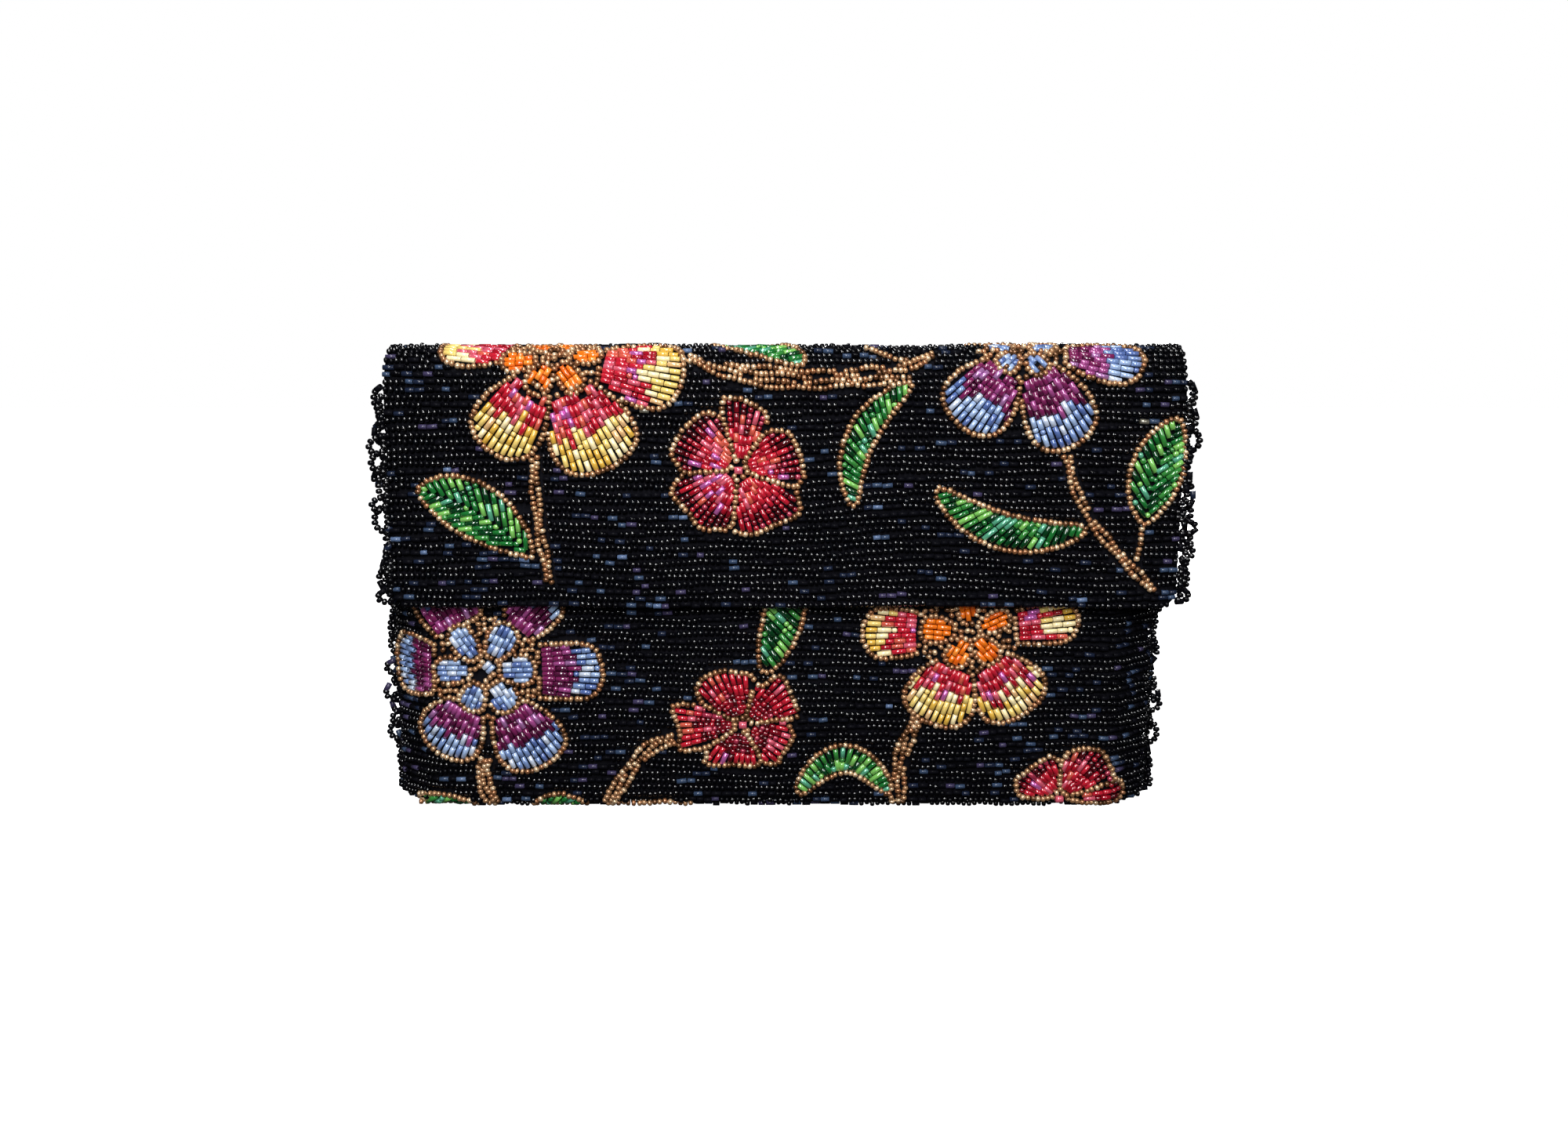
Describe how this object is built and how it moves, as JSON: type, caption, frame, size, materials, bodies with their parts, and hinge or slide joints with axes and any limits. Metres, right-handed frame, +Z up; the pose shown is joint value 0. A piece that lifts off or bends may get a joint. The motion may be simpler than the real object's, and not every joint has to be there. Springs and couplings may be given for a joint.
{
  "type": "clutch purse",
  "caption": "Slim fold-over clutch covered in glass beads, with a floral design, looped bead side edges and a deep front flap that lifts on a soft fold.",
  "frame": {"origin": "middle of the clutch's overall box on the plane of its flat base", "axes": "+X along the width to the right seen from the front, +Y from the flap towards the back panel, +Z up"},
  "size_m": [0.2672, 0.0262, 0.156],
  "materials": {
    "black_beads": "gloss",
    "orange_beads": "gloss",
    "red_beads": "gloss",
    "violet_beads": "gloss",
    "green_beads": "gloss",
    "gold_beads": "gloss metallic",
    "ground_cloth": "matt weave",
    "fleece": "matt",
    "satin": "satin",
    "nickel_snap": "polished"
  },
  "bodies": {
    "pouch": {"pouch_front_beads": "black_beads", "pouch_back_beads": "black_beads", "pouch_base_beads": "black_beads", "pouch_left_side_beads": "black_beads", "pouch_right_side_beads": "black_beads", "pouch_ground_cloth": "ground_cloth", "pouch_front_interfacing": "fleece", "pouch_back_interfacing": "fleece", "pouch_front_lining": "satin", "pouch_back_lining": "satin", "slip_pocket": "satin", "mouth_binding": "satin", "pouch_left_picots": "black_beads", "pouch_right_picots": "black_beads", "snap_socket": "nickel_snap", "snap_socket_washer": "nickel_snap", "front_violet_flower": "violet_beads", "front_red_flower": "red_beads", "front_orange_flower": "orange_beads", "front_corner_flower": "red_beads", "front_leaves": "green_beads", "front_stems": "gold_beads"},
    "fold_1": {"fold_1_beads": "black_beads", "fold_1_cloth": "ground_cloth", "fold_1_lining": "satin"},
    "fold_2": {"fold_2_beads": "black_beads", "fold_2_cloth": "ground_cloth", "fold_2_lining": "satin"},
    "fold_3": {"fold_3_beads": "black_beads", "fold_3_cloth": "ground_cloth", "fold_3_lining": "satin"},
    "fold_4": {"fold_4_beads": "black_beads", "fold_4_cloth": "ground_cloth", "fold_4_lining": "satin"},
    "flap": {"flap_beads": "black_beads", "flap_ground_cloth": "ground_cloth", "flap_interfacing": "fleece", "flap_lining": "satin", "flap_left_picots": "black_beads", "flap_right_picots": "black_beads", "snap_stud": "nickel_snap", "snap_stud_washer": "nickel_snap", "flap_orange_flower": "orange_beads", "flap_red_flower": "red_beads", "flap_violet_flower": "violet_beads", "flap_leaves": "green_beads", "flap_stems": "gold_beads"}
  },
  "joints": [
    {"name": "flap_open", "type": "hinge", "parent": "pouch", "child": "fold_1", "pos_m": [0, 0.01305, 0.143], "axis": [-1, 0, 0], "range_deg": [0, 36]},
    {"name": "fold_bend_2", "type": "hinge", "parent": "fold_1", "child": "fold_2", "pos_m": [0, 0.00923, 0.15223], "axis": [-1, 0, 0], "range_deg": [0, 36]},
    {"name": "fold_bend_3", "type": "hinge", "parent": "fold_2", "child": "fold_3", "pos_m": [0, 0, 0.15605], "axis": [-1, 0, 0], "range_deg": [0, 36]},
    {"name": "fold_bend_4", "type": "hinge", "parent": "fold_3", "child": "fold_4", "pos_m": [0, -0.00923, 0.15223], "axis": [-1, 0, 0], "range_deg": [0, 36]},
    {"name": "fold_bend_5", "type": "hinge", "parent": "fold_4", "child": "flap", "pos_m": [0, -0.01305, 0.143], "axis": [-1, 0, 0], "range_deg": [0, 36]}
  ],
  "couplings": [
    {"joint": "fold_bend_2", "follows": "flap_open", "ratio": 1},
    {"joint": "fold_bend_3", "follows": "flap_open", "ratio": 1},
    {"joint": "fold_bend_4", "follows": "flap_open", "ratio": 1},
    {"joint": "fold_bend_5", "follows": "flap_open", "ratio": 1}
  ]
}
